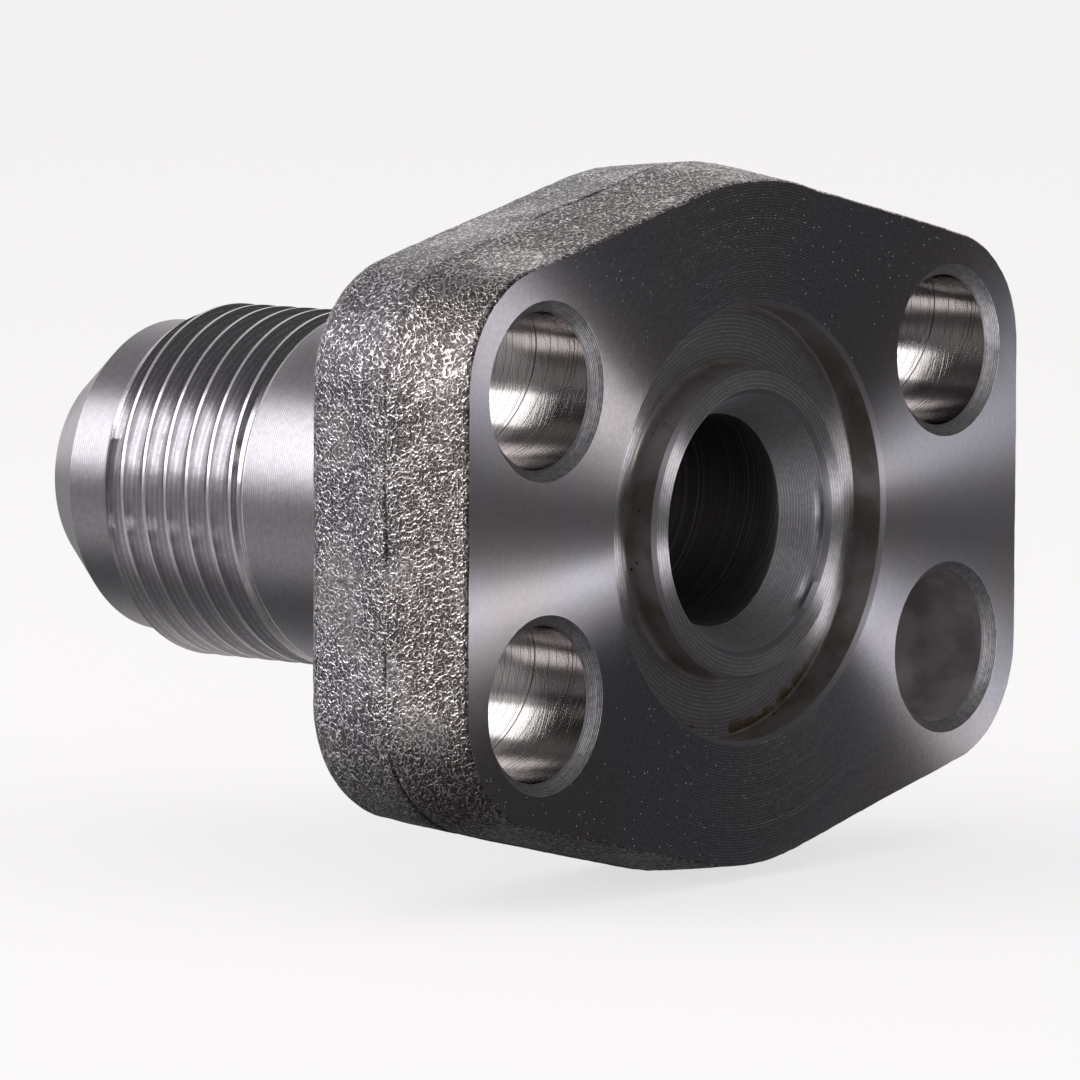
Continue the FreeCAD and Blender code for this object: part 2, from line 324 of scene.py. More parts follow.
# The back of the flange head. It is the other die's flat, on which the bolt heads bear,
# with the same forged skin, and a ring round the stem is faced off with the stem.
STEM_RADIUS = 13.4 * MM
ROOT_FILLET = 2.5 * MM
HOLE_RADIUS = BOLTS["dims"]["hole_r_mm"] * MM
BACK_BREAK = 0.4 * MM
HOLE_COLUMNS = 96
TURNED_COLUMNS = 256
BACK_STEP = 0.62 * MM
BACK_REACH = 34 * MM
BACK_MARGIN = 0.35 * MM
FACING_RADIUS = 20.2 * MM
FACING_DEPTH = 0.25 * MM


def circle(radius, columns):
    """Points of a circle round the bore axis, as X and Z, anticlockwise."""
    turn = np.linspace(0, 2 * math.pi, columns, endpoint=False)
    return np.stack([radius * np.cos(turn), radius * np.sin(turn)], 1)


def plate(loops, inner):
    """Triangles of a flat region inside its first loop of points and outside the others,
    with more points spread between them. A triangle with all its corners on one loop
    lies inside that loop where they follow it forwards: such a triangle stays in the
    first loop, goes in the others, and goes outside the first where it runs backwards."""
    points = np.concatenate(list(loops) + [inner])
    owner = np.full(len(points), -1)
    place = np.zeros(len(points), int)
    edges, start = [], 0
    for number, loop in enumerate(loops):
        index = np.arange(len(loop))
        owner[start:start + len(loop)] = number
        place[start:start + len(loop)] = index
        edges.append(np.stack([start + index, start + (index + 1) % len(loop)], 1))
        start += len(loop)
    flat = [Vector(point) for point in (points / MM).tolist()]
    result = delaunay_2d_cdt(flat, np.concatenate(edges).tolist(), [], 1, 1e-9, True)
    order = np.array([origin[0] for origin in result[3]])
    faces = order[np.array(result[2])]
    first, second, third = owner[faces].T
    on_one = (first >= 0) & (first == second) & (second == third)
    size = np.array([len(loop) for loop in loops])[first]
    a, b, c = place[faces].T
    forwards = (b - a) % size + (c - b) % size + (a - c) % size == size
    return points, faces[~on_one | (forwards & (first == 0))]


def bolt_middles():
    """The middles of the four bolt holes, as X and Z."""
    return np.array([[x * BOLT_X, z * BOLT_Z] for x in (-1, 1) for z in (-1, 1)])


def off_bolts(points, radius):
    """Whether each point lies further than a radius from every bolt hole's middle."""
    gaps = np.linalg.norm(points[:, None] - bolt_middles()[None], axis=2)
    return gaps.min(axis=1) > radius


def head_back():
    """The flat back: a lattice of points between the rounded edge, the four holes and
    the faced ring, joined by triangles and moved inwards by the forged dents."""
    rim = outline + outward * side_swell[-1]
    ring = circle(FACING_RADIUS, TURNED_COLUMNS)
    holes = [middle + circle(HOLE_RADIUS + BACK_BREAK, HOLE_COLUMNS) for middle in bolt_middles()]
    reach = np.arange(-BACK_REACH, BACK_REACH, BACK_STEP)
    x, z = np.meshgrid(reach, reach * math.sqrt(0.75))
    x = x + (np.arange(len(reach)) % 2 * BACK_STEP / 2)[:, None]
    inner = np.stack([x.ravel(), z.ravel()], 1)
    limit = ((inner[:, None] - rim[None, ::4]) * outward[None, ::4]).sum(axis=2).max(axis=1)
    clear = (limit < -BACK_MARGIN) & off_bolts(inner, HOLE_RADIUS + BACK_BREAK + BACK_MARGIN)
    clear &= np.linalg.norm(inner, axis=1) > FACING_RADIUS + BACK_MARGIN
    points, faces = plate([rim, ring] + holes, inner[clear])
    points = np.stack([points[:, 0], np.full(len(points), HEAD_DEPTH), points[:, 1]], 1)
    points[:, 1] -= pressed_in(points)
    return points, faces[:, ::-1]


add_patch(*head_back(), "forged_skin")

# The port face. The whole front of the head was faced flat on a lathe in one cut, so fine
# rings run round the bore axis right out to the corners, and light fans out across them.
RIM_CHAMFER_RADIUS = 16.15 * MM
HOLE_CHAMFER = 0.82 * MM


def port_face():
    """The flat face between the outline, the four bolt holes and the groove's rim."""
    rim = circle(RIM_CHAMFER_RADIUS, TURNED_COLUMNS)
    holes = [middle + circle(HOLE_RADIUS + HOLE_CHAMFER, HOLE_COLUMNS) for middle in bolt_middles()]
    points, faces = plate([face_edge[:, [0, 2]], rim] + holes, np.empty((0, 2)))
    return np.stack([points[:, 0], np.zeros(len(points)), points[:, 1]], 1), faces


add_patch(*port_face(), "faced_steel")


def new_group(name, inputs, outputs):
    """An empty node group with named inputs and outputs, and its two end nodes."""
    tree = bpy.data.node_groups.new(name, "ShaderNodeTree")
    for title, kind, value in inputs:
        item = tree.interface.new_socket(title, in_out="INPUT", socket_type=kind)
        if value is not None:
            item.default_value = value
    for title in outputs:
        tree.interface.new_socket(title, in_out="OUTPUT", socket_type="NodeSocketFloat")
    given = tree.nodes.new("NodeGroupInput").outputs
    return tree, given, tree.nodes.new("NodeGroupOutput").inputs


def turning_group():
    """The marks of a turning tool: a line at every pitch of the feed, broken here and
    there, over finer scratches that never repeat. Feed is the way the tool has gone in
    metres, and Line and Height run from about 0 to 1."""
    tree, given, result = new_group("turning_marks", (
        ("Place", "NodeSocketVector", None),
        ("Feed", "NodeSocketFloat", 0.0),
        ("Pitch", "NodeSocketFloat", 0.35 * MM),
        ("Scratches", "NodeSocketFloat", 0.5),
    ), ("Line", "Height"))
    turns = reckon(tree, "DIVIDE", given["Feed"], given["Pitch"])
    wave = reckon(tree, "SINE", reckon(tree, "MULTIPLY", turns, 2 * math.pi))
    crest = reckon(tree, "POWER", reckon(tree, "MULTIPLY_ADD", wave, 0.5, 0.5), 3.0)
    broken = noise(tree, given["Place"], 2600.0, 2.0)
    line = reckon(tree, "MULTIPLY", crest, reckon(tree, "MULTIPLY_ADD", broken, 3.0, -0.8))
    along = reckon(tree, "MULTIPLY", given["Feed"], 9000.0)
    scratches = {"W": along, "Detail": 3.0}
    fine = put(tree, "ShaderNodeTexNoise", scratches, noise_dimensions="1D").outputs["Fac"]
    scratched = reckon(tree, "MULTIPLY", reckon(tree, "SUBTRACT", fine, 0.5), given["Scratches"])
    tree.links.new(reckon(tree, "MULTIPLY_ADD", scratched, 2.0, line), result["Line"])
    tree.links.new(reckon(tree, "MULTIPLY_ADD", crest, 0.4, fine), result["Height"])
    return tree


def speck_group():
    """Small bright nicks and dust: in some cells of a scattered pattern, a spot round
    the cell's own point. Amount is the share of the cells that have one."""
    tree, given, result = new_group("specks", (
        ("Place", "NodeSocketVector", None),
        ("Cells", "NodeSocketFloat", 900.0),
        ("Amount", "NodeSocketFloat", 0.3),
        ("Size", "NodeSocketFloat", 0.07),
    ), ("Mask",))
    cells = put(tree, "ShaderNodeTexVoronoi", {"Vector": given["Place"], "Scale": given["Cells"]})
    pick = put(tree, "ShaderNodeSeparateColor", {"Color": cells.outputs["Color"]}).outputs
    size = reckon(tree, "MULTIPLY", given["Size"], reckon(tree, "ADD", pick["Green"], 0.4))
    spot = reckon(tree, "LESS_THAN", cells.outputs["Distance"], size)
    chosen = reckon(tree, "LESS_THAN", pick["Red"], given["Amount"])
    tree.links.new(reckon(tree, "MULTIPLY", spot, chosen), result["Mask"])
    return tree


turning_marks = turning_group()
specks = speck_group()


def round_tangent(tree, places):
    """The direction that runs round the bore axis at every point, for brushed light."""
    inputs = {0: (0.0, 1.0, 0.0), 1: places}
    return put(tree, "ShaderNodeVectorMath", inputs, operation="CROSS_PRODUCT").outputs[0]


def axis_distance(tree, places):
    """The distance of every point from the bore axis."""
    place = split(tree, places)
    flat = put(tree, "ShaderNodeCombineXYZ", {"X": place["X"], "Z": place["Z"]}).outputs[0]
    return put(tree, "ShaderNodeVectorMath", {0: flat}, operation="LENGTH").outputs["Value"]


def brushed_steel(name, colour, roughness, anisotropy):
    """A new bare metal, as steel makes it, with its gloss spread across the lines that
    the tool has turned round the bore axis."""
    material, tree, shader, places = steel(name, colour, roughness)
    shader.inputs["Anisotropic"].default_value = anisotropy
    shader.inputs["Anisotropic Rotation"].default_value = 0.25
    tree.links.new(round_tangent(tree, places), shader.inputs["Tangent"])
    return material, tree, shader, places


def group(tree, node_tree, inputs):
    """Places a node group in a material and returns its outputs."""
    node = tree.nodes.new("ShaderNodeGroup")
    node.node_tree = node_tree
    for name, value in inputs.items():
        if isinstance(value, bpy.types.NodeSocket):
            tree.links.new(value, node.inputs[name])
        else:
            node.inputs[name].default_value = value
    return node.outputs


def rings(tree, places, feed, pitch, scratches):
    """The outputs of the turning marks, for a feed and a pitch of the tool."""
    inputs = {"Place": places, "Feed": feed, "Pitch": pitch, "Scratches": scratches}
    return group(tree, turning_marks, inputs)


def scattered(tree, places, cells, amount, size):
    """The mask of scattered specks, one where there is a speck."""
    inputs = {"Place": places, "Cells": cells, "Amount": amount, "Size": size}
    return group(tree, specks, inputs)["Mask"]


def faced_steel():
    """Dark bright-cut steel with the rings of the facing cut, their pale lines painted stronger
    above and below the bore as a painted sheen, a blue cast that comes and goes, and dust
    and nicks that catch the light."""
    material, tree, shader, places = brushed_steel("faced_steel", (0.26, 0.25, 0.26, 1), 0.32, 1.0)
    radius = axis_distance(tree, places)
    marks = rings(tree, places, radius, 0.21 * MM, 0.30)
    dust = scattered(tree, places, 2600.0, 0.75, 0.095)
    cast = noise(tree, places, 60.0, 2.0)
    dark = blend(tree, ramp(tree, cast, 0.40, 0.62), (0.232, 0.212, 0.218, 1), (0.226, 0.216, 0.246, 1))
    # Painted sheen: the rings' pale lines are painted strongest above and below the bore and weakest at its
    # sides, as the light shows them.
    steep = reckon(tree, "DIVIDE", split(tree, places)["Z"], radius)
    painted_sheen_share = reckon(tree, "MULTIPLY_ADD", reckon(tree, "MULTIPLY", steep, steep), 0.75, 0.25)
    line = reckon(tree, "MULTIPLY", ramp(tree, marks["Line"], 0.05, 1.0), painted_sheen_share)
    metal = blend(tree, line, dark, (0.45, 0.435, 0.475, 1))
    tree.links.new(blend(tree, dust, metal, (0.20, 0.196, 0.20, 1)), shader.inputs["Base Color"])
    tree.links.new(reckon(tree, "MULTIPLY_ADD", dust, -0.85, 0.985), shader.inputs["Metallic"])
    emboss(tree, shader, marks["Height"], 0.00001, 0.6)
    return material


finishes["faced_steel"] = faced_steel()

# The seal groove, the land round the port and the lead-in cone, all turned with the face.
# The groove takes an O-ring, and the land stands a hair below the face.
GROOVE_WALL = 15.85 * MM
GROOVE_DEPTH = 2.8 * MM
GROOVE_CORNER = 0.15 * MM
BOSS_FOOT = 0.45 * MM
BOSS_WALL = 11.35 * MM
LAND_DEPTH = 0.15 * MM
LAND_CHAMFER = 0.3 * MM
MOUTH_RADIUS = 9.75 * MM
MOUTH_BREAK = 0.35 * MM
LEAD_DEPTH = 3.6 * MM
BORE = next(mount for mount in frame["record"]["mounts"] if mount["kind"] == "bore")
BORE_RADIUS = BORE["dims"]["r_mm"] * MM


def revolved(profile):
    """The circles of a surface turned round the bore axis, one for each pair of its
    profile, a depth and a radius: radius times the circle, moved to the depth."""
    depth, radius = np.array(profile).T
    ring = circle(1.0, TURNED_COLUMNS)
    points = np.empty((len(depth), TURNED_COLUMNS, 3))
    points[..., 0] = radius[:, None] * ring[:, 0]
    points[..., 1] = depth[:, None]
    points[..., 2] = radius[:, None] * ring[:, 1]
    return points


def hollow(points, finish):
    """Keeps a turned surface that faces the axis or the front, from front to back."""
    add_patch(points, grid_faces(len(points), TURNED_COLUMNS)[:, ::-1], finish)


def solid(points, finish):
    """Keeps a turned surface that faces away from the axis, from front to back."""
    add_patch(points, grid_faces(len(points), TURNED_COLUMNS), finish)


def corner_arc(depth, radius, size, first, last, steps=5):
    """Points of a small arc in the turned profile, from one angle to another in degrees,
    0 being towards the back and 90 away from the axis."""
    turn = np.radians(np.linspace(first, last, steps))
    return list(zip(depth + size * np.cos(turn), radius + size * np.sin(turn)))


def straight(start, end, steps):
    """Evenly spaced points of the turned profile between two, both included."""
    return [tuple(point) for point in np.linspace(start, end, steps + 1)]


def dent(points, depth, turn, long, wide, deep):
    """How far a nick sinks a turned surface: a rounded hollow at a depth and an angle in
    degrees, long round the axis and wide along it, fading as a bell curve."""
    angle = np.arctan2(points[..., 2], points[..., 0]) - math.radians(turn)
    round_way = np.hypot(points[..., 0], points[..., 2]) * angle / long
    return deep * np.exp(-(round_way ** 2 + ((points[..., 1] - depth) / wide) ** 2))


rim_chamfer = [(0.0, RIM_CHAMFER_RADIUS), (RIM_CHAMFER_RADIUS - GROOVE_WALL, GROOVE_WALL)]
outer_wall = (
    straight(rim_chamfer[-1], (GROOVE_DEPTH - GROOVE_CORNER, GROOVE_WALL), 4)
    + corner_arc(GROOVE_DEPTH - GROOVE_CORNER, GROOVE_WALL - GROOVE_CORNER, GROOVE_CORNER, 90, 0)
)
boss_wall = (
    corner_arc(GROOVE_DEPTH - BOSS_FOOT, BOSS_WALL + BOSS_FOOT, BOSS_FOOT, 0, -90, 7)
    + straight((GROOVE_DEPTH - 1.2 * BOSS_FOOT, BOSS_WALL), (LAND_DEPTH + LAND_CHAMFER, BOSS_WALL), 4)
)
land_edge = [boss_wall[-1], (LAND_DEPTH, BOSS_WALL - LAND_CHAMFER)]
mouth_break = [(LAND_DEPTH, MOUTH_RADIUS), (LAND_DEPTH + MOUTH_BREAK, MOUTH_RADIUS - MOUTH_BREAK)]
hollow(revolved(rim_chamfer), "broken_edge")
hollow(revolved(outer_wall), "groove_wall")
hollow(revolved(straight(outer_wall[-1], boss_wall[0], 6)), "turned_port")
hollow(revolved(boss_wall), "groove_wall")
hollow(revolved(land_edge), "broken_edge")
hollow(revolved([land_edge[-1], mouth_break[0]]), "turned_port")
hollow(revolved(mouth_break), "broken_edge")
cone = revolved(straight(mouth_break[-1], (LEAD_DEPTH, BORE_RADIUS), 28))
cone_dents = dent(cone, 0.94 * MM, -3.0, 1.7 * MM, 0.24 * MM, 0.16 * MM)
cone_dents += dent(cone, 0.86 * MM, -39.0, 1.2 * MM, 0.3 * MM, 0.20 * MM)
cone_dents[0] = 0
cone[..., 0] *= 1 + cone_dents / BORE_RADIUS
cone[..., 2] *= 1 + cone_dents / BORE_RADIUS
hollow(cone, "turned_cone")


def turned_port():
    """Turned steel with deeper rings than the face, an amber film of old oil in the
    bottom of the groove, and dust."""
    material, tree, shader, places = brushed_steel("turned_port", (0.32, 0.31, 0.32, 1), 0.34, 1.0)
    place = split(tree, places)
    radius = axis_distance(tree, places)
    feed = reckon(tree, "ADD", radius, place["Y"])
    marks = rings(tree, places, feed, 0.30 * MM, 0.5)
    dust = scattered(tree, places, 2600.0, 0.75, 0.095)
    line = ramp(tree, marks["Line"], -0.2, 1.0)
    metal = blend(tree, line, (0.235, 0.222, 0.232, 1), (0.42, 0.405, 0.43, 1))
    low = ramp(tree, place["Z"], -9.0 * MM, -13.5 * MM)
    corner = ramp(tree, reckon(tree, "SUBTRACT", radius, place["Y"]), 11.6 * MM, 12.8 * MM)
    blotch = noise(tree, places, 520.0, 3.0)
    deep = ramp(tree, place["Y"], 1.6 * MM, 2.5 * MM)
    blotched = reckon(tree, "MULTIPLY", deep, ramp(tree, blotch, 0.42, 0.56))
    oil = reckon(tree, "MULTIPLY", reckon(tree, "MULTIPLY", low, corner), blotched)
    stained = blend(tree, oil, metal, (0.13, 0.085, 0.033, 1))
    tree.links.new(blend(tree, dust, stained, (0.40, 0.39, 0.39, 1)), shader.inputs["Base Color"])
    tree.links.new(reckon(tree, "MULTIPLY_ADD", dust, -0.85, 0.935), shader.inputs["Metallic"])
    emboss(tree, shader, marks["Height"], 0.00001, 0.6)
    return material


def turned_cone():
    """The lead-in cone, finely turned and duller and paler than the face."""
    material, tree, shader, places = brushed_steel("turned_cone", (0.42, 0.405, 0.41, 1), 0.42, 0.9)
    shader.inputs["Metallic"].default_value = 0.985
    depth = split(tree, places)["Y"]
    marks = rings(tree, places, depth, 0.19 * MM, 0.9)
    metal = blend(tree, ramp(tree, marks["Line"], -0.3, 1.0), (0.33, 0.315, 0.33, 1), (0.64, 0.62, 0.66, 1))
    tree.links.new(metal, shader.inputs["Base Color"])
    emboss(tree, shader, marks["Height"], 0.00001, 0.6)
    return material


def groove_wall():
    """The groove's walls, cut with the side of the tool: smoother and browner than its
    floor, with black specks of dirt that have settled low on them."""
    material, tree, shader, places = brushed_steel("groove_wall", (0.26, 0.24, 0.235, 1), 0.34, 0.9)
    shader.inputs["Metallic"].default_value = 0.86
    depth = split(tree, places)["Y"]
    dirt = scattered(tree, places, 1500.0, 0.6, 0.16)
    low = reckon(tree, "MULTIPLY", dirt, reckon(tree, "GREATER_THAN", depth, 1.3 * MM))
    film = noise(tree, places, 330.0, 3.0)
    metal = blend(tree, ramp(tree, film, 0.40, 0.66), (0.28, 0.26, 0.255, 1), (0.19, 0.165, 0.15, 1))
    tree.links.new(blend(tree, low, metal, (0.02, 0.018, 0.016, 1)), shader.inputs["Base Color"])
    return material


def broken_edge():
    """The narrow chamfers of the groove's rim, the land and the mouth, scraped pale."""
    material, tree, shader, places = brushed_steel("broken_edge", (0.36, 0.345, 0.375, 1), 0.34, 0.9)
    shader.inputs["Metallic"].default_value = 0.985
    return material


finishes["turned_port"] = turned_port()
finishes["turned_cone"] = turned_cone()
finishes["groove_wall"] = groove_wall()
finishes["broken_edge"] = broken_edge()

# The bore, drilled right through head and stem along the axis. The drill left faint pale
# streaks that wind down its wall.
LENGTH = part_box("flange_adapter")[1].y
NOSE_BREAK = 0.2 * MM
bore_profile = straight((LEAD_DEPTH, BORE_RADIUS), (LENGTH - NOSE_BREAK, BORE_RADIUS), 24)
hollow(revolved(bore_profile), "drilled_bore")


def drill_group():
    """The height of a drill's slanting scratches, from 0 to 1: noise along a line that
    climbs the wall by its lean, in metres a turn, as the angle in turns goes round."""
    tree, given, result = new_group("drill_marks", (
        ("Depth", "NodeSocketFloat", 0.0),
        ("Turn", "NodeSocketFloat", 0.0),
        ("Lean", "NodeSocketFloat", 14.0 * MM),
        ("Marks", "NodeSocketFloat", 2600.0),
    ), ("Height",))
    climb = reckon(tree, "MULTIPLY_ADD", given["Turn"], given["Lean"], given["Depth"])
    along = reckon(tree, "MULTIPLY", climb, given["Marks"])
    scratches = {"W": along, "Detail": 4.0, "Roughness": 0.6}
    streaks = put(tree, "ShaderNodeTexNoise", scratches, noise_dimensions="1D").outputs["Fac"]
    tree.links.new(streaks, result["Height"])
    return tree


drill_marks = drill_group()


def drilled_bore():
    """Dull dark steel of the bore, with faint pale streaks winding down it."""
    material, tree, shader, places = steel("drilled_bore", (0.30, 0.29, 0.29, 1), 0.36)
    place = split(tree, places)
    turn = reckon(tree, "DIVIDE", reckon(tree, "ARCTAN2", place["Z"], place["X"]), 2 * math.pi)
    given = {"Depth": place["Y"], "Turn": turn, "Lean": 9.0 * MM, "Marks": 1300.0}
    scratches = group(tree, drill_marks, given)["Height"]
    metal = blend(tree, ramp(tree, scratches, 0.56, 0.68), (0.26, 0.245, 0.245, 1), (0.62, 0.60, 0.60, 1))
    tree.links.new(metal, shader.inputs["Base Color"])
    emboss(tree, shader, scratches, 0.00002, 0.5)
    return material


finishes["drilled_bore"] = drilled_bore()

# The four bolt holes, drilled through the head. Each has a rough chamfer at the port face
# and a slight broken edge at the back.


def bolt_hole(middle):
    """One hole's chamfer and wall: a circle round its middle at each depth of a short
    profile, the last of which lies on the dented back."""
    wall = np.linspace(1.6, 14.0, 16) * MM
    depth = [0.0, HOLE_CHAMFER] + list(wall) + [HEAD_DEPTH - BACK_BREAK, HEAD_DEPTH]
    radius = np.array([HOLE_RADIUS + HOLE_CHAMFER] + [HOLE_RADIUS] * 18 + [HOLE_RADIUS + BACK_BREAK])
    ring = circle(1.0, HOLE_COLUMNS)
    points = np.empty((len(depth), HOLE_COLUMNS, 3))
    points[..., 0] = middle[0] + radius[:, None] * ring[:, 0]
    points[..., 1] = np.array(depth)[:, None]
    points[..., 2] = middle[1] + radius[:, None] * ring[:, 1]
    points[-1, :, 1] -= pressed_in(points[-1])
    add_patch(points[:2], grid_faces(2, HOLE_COLUMNS)[:, ::-1], "scraped_chamfer")
    filmed = middle[0] > 0 > middle[1]
    finish = "filmed_steel" if filmed else "drilled_steel"
    add_patch(points[1:], grid_faces(len(depth) - 1, HOLE_COLUMNS)[:, ::-1], finish)


for middle in bolt_middles():
    bolt_hole(middle)


def from_bolt(tree, places):
    """A point's X and Z from the middle of the bolt hole in its own quarter, and its Y."""
    place = split(tree, places)
    across = reckon(tree, "MULTIPLY_ADD", reckon(tree, "SIGN", place["X"]), -BOLT_X, place["X"])
    above = reckon(tree, "MULTIPLY_ADD", reckon(tree, "SIGN", place["Z"]), -BOLT_Z, place["Z"])
    return across, above, place["Y"]


def drilled_steel():
    """Dark glossy steel of the bolt holes, with the slanting scratches of the drill."""
    material, tree, shader, places = steel("drilled_steel", (0.30, 0.285, 0.285, 1), 0.085)
    across, above, depth = from_bolt(tree, places)
    turn = reckon(tree, "DIVIDE", reckon(tree, "ARCTAN2", above, across), 2 * math.pi)
    given = {"Depth": depth, "Turn": turn}
    lines = group(tree, drill_marks, given | {"Lean": 0.8 * MM, "Marks": 3600.0})["Height"]
    slanting = group(tree, drill_marks, given | {"Marks": 1100.0})["Height"]
    scratches = ramp(tree, slanting, 0.39, 0.35)
    height = reckon(tree, "MULTIPLY_ADD", scratches, -0.5, lines)
    emboss(tree, shader, height, 0.000008, 0.5)
    metal = blend(tree, ramp(tree, lines, 0.36, 0.56), (0.22, 0.20, 0.195, 1), (0.40, 0.38, 0.38, 1))
    tree.links.new(blend(tree, scratches, metal, (0.10, 0.09, 0.085, 1)), shader.inputs["Base Color"])
    return material


def filmed_steel():
    """The wall of the hole low on the right, under a dull grey film with darker smears."""
    material, tree, shader, places = steel("filmed_steel", (0.20, 0.185, 0.19, 1), 0.5)
    shader.inputs["Metallic"].default_value = 0.35
    smears = noise(tree, places, 260.0, 3.0)
    film = blend(tree, ramp(tree, smears, 0.38, 0.60), (0.15, 0.135, 0.14, 1), (0.235, 0.218, 0.223, 1))
    tree.links.new(film, shader.inputs["Base Color"])
    return material


def scraped_chamfer():
    """The countersunk edge of each bolt hole, with fine bright lines running round it."""
    material, tree, shader, places = steel("scraped_chamfer", (0.52, 0.51, 0.515, 1), 0.40)
    shader.inputs["Metallic"].default_value = 0.96
    depth = from_bolt(tree, places)[2]
    marks = rings(tree, places, depth, 0.09 * MM, 1.8)
    metal = blend(tree, ramp(tree, marks["Line"], 0.1, 1.0), (0.20, 0.188, 0.20, 1), (0.66, 0.64, 0.68, 1))
    tree.links.new(metal, shader.inputs["Base Color"])
    emboss(tree, shader, marks["Height"], 0.00002, 0.8)
    return material


finishes["drilled_steel"] = drilled_steel()
finishes["filmed_steel"] = filmed_steel()
finishes["scraped_chamfer"] = scraped_chamfer()

# The stem, turned from the same forging: the ring faced at its root, the root fillet,
# the plain shank, the thread for the flare nut, the smooth pilot, and the cone that seals
# against the flared tube.
THREAD_END = 37.2 * MM
THREAD_START = 52.3 * MM
THREAD_PITCH = 25.4 / 12 * MM
LAST_CREST = 38.52 * MM
CREST_RADIUS = 13.38 * MM
PILOT_RADIUS = 11.85 * MM
NOSE_RADIUS = 8.3 * MM
SEAT_ANGLE = math.radians(37.0)
CONE_START = LENGTH - (PILOT_RADIUS - NOSE_RADIUS) / math.tan(SEAT_ANGLE)

root = HEAD_DEPTH - FACING_DEPTH
facing = revolved([(HEAD_DEPTH, FACING_RADIUS)] + straight(
    (root, FACING_RADIUS - 0.2 * MM), (root, STEM_RADIUS + ROOT_FILLET), 8
))
facing[0, :, 1] -= pressed_in(facing[0])
solid(facing, "faced_back")
shank_profile = (
    corner_arc(root + ROOT_FILLET, STEM_RADIUS + ROOT_FILLET, ROOT_FILLET, 180, 270, 9)
    + straight((19.0 * MM, STEM_RADIUS), (THREAD_END - 0.2 * MM, STEM_RADIUS), 12)
    + [(THREAD_END, CREST_RADIUS)]
)
solid(revolved(shank_profile), "turned_stem")


def thread():
    """The thread, on rows that follow the helix. Each row keeps its place across the
    ridge, from crest to root and back, and slides one pitch along the axis in a turn.
    The radius is the crest's, less the depth of a 60 degree vee with a rounded root,
    held under the lead chamfer and faded out where the cut runs out at the shank."""
    half_crest = THREAD_PITCH / 16
    root_round = 0.144 * THREAD_PITCH
    tangent_point = THREAD_PITCH / 2 - root_round * math.cos(math.pi / 6)
    rooted = np.linspace(tangent_point, THREAD_PITCH - tangent_point, 5)
    halfway = (half_crest + tangent_point) / 2
    across = np.concatenate([[-half_crest, half_crest, halfway], rooted, [THREAD_PITCH - halfway]])
    turns = math.ceil((THREAD_START - THREAD_END) / THREAD_PITCH) + 2
    place = (across[None] + THREAD_PITCH * np.arange(turns)[:, None]).ravel()
    turn = np.linspace(0, 2 * math.pi, TURNED_COLUMNS, endpoint=False)
    slide = (math.pi - turn) / (2 * math.pi) * THREAD_PITCH
    first = LAST_CREST - 2 * THREAD_PITCH
    depth = first + place[:, None] + slide[None]
    span = np.abs((place + THREAD_PITCH / 2) % THREAD_PITCH - THREAD_PITCH / 2)[:, None]
    from_root = THREAD_PITCH / 2 - span
    vee = (THREAD_PITCH / 2 - half_crest) / math.tan(math.pi / 6)
    flank = vee - from_root / math.tan(math.pi / 6)
    bottom = vee - 2 * root_round + np.sqrt(np.maximum(root_round ** 2 - from_root ** 2, 0))
    cut = np.where(span > tangent_point, bottom, np.maximum(flank, 0))
    depth = np.clip(depth, THREAD_END, THREAD_START)
    fade = np.clip((depth - THREAD_END) / (0.75 * THREAD_PITCH), 0, 1)
    fade = fade * fade * (3 - 2 * fade)
    radius = np.minimum(CREST_RADIUS - cut * fade, PILOT_RADIUS + (THREAD_START - depth))
    points = np.stack([radius * np.cos(turn), depth, radius * np.sin(turn)], -1)
    rows = len(place)
    faces = grid_faces(rows, TURNED_COLUMNS, closed=False)
    add_patch(points, faces, "cut_thread")
    step = len(across)
    last = np.arange(step, rows - 1) * TURNED_COLUMNS + TURNED_COLUMNS - 1
    first_row = np.arange(0, rows - 1 - step) * TURNED_COLUMNS
    seam = np.stack([last, last + TURNED_COLUMNS, first_row + TURNED_COLUMNS, first_row], 1)
    add_patch(points, seam, "cut_thread")


thread()
nose_profile = (
    straight((THREAD_START, PILOT_RADIUS), (CONE_START, PILOT_RADIUS), 4)
    + straight((CONE_START, PILOT_RADIUS), (LENGTH, NOSE_RADIUS), 8)[1:]
    + [(LENGTH, BORE_RADIUS + NOSE_BREAK), (LENGTH - NOSE_BREAK, BORE_RADIUS)]
)
solid(revolved(nose_profile), "turned_stem")


def turned_stem():
    """Bright turned steel of the stem, finely ringed, with a few specks of rust."""
    material, tree, shader, places = brushed_steel("turned_stem", (0.36, 0.35, 0.365, 1), 0.30, 0.95)
    depth = split(tree, places)["Y"]
    marks = rings(tree, places, depth, 0.20 * MM, 0.8)
    rust = scattered(tree, places, 620.0, 0.08, 0.07)
    line = ramp(tree, marks["Line"], -0.4, 1.2)
    metal = blend(tree, line, (0.28, 0.268, 0.288, 1), (0.46, 0.445, 0.48, 1))
    tree.links.new(blend(tree, rust, metal, (0.07, 0.035, 0.022, 1)), shader.inputs["Base Color"])
    tree.links.new(reckon(tree, "MULTIPLY_ADD", rust, -0.9, 1.0), shader.inputs["Metallic"])
    emboss(tree, shader, marks["Height"], 0.00001, 0.5)
    return material


def cut_thread():
    """The thread's steel, streaked round the axis by the cut."""
    material, tree, shader, places = brushed_steel("cut_thread", (0.60, 0.58, 0.60, 1), 0.20, 0.95)
    depth = split(tree, places)["Y"]
    marks = rings(tree, places, depth, 0.20 * MM, 0.8)
    metal = blend(tree, ramp(tree, marks["Line"], -0.4, 1.2), (0.50, 0.48, 0.505, 1), (0.76, 0.74, 0.78, 1))
    tree.links.new(metal, shader.inputs["Base Color"])
    emboss(tree, shader, marks["Height"], 0.000005, 0.5)
    return material


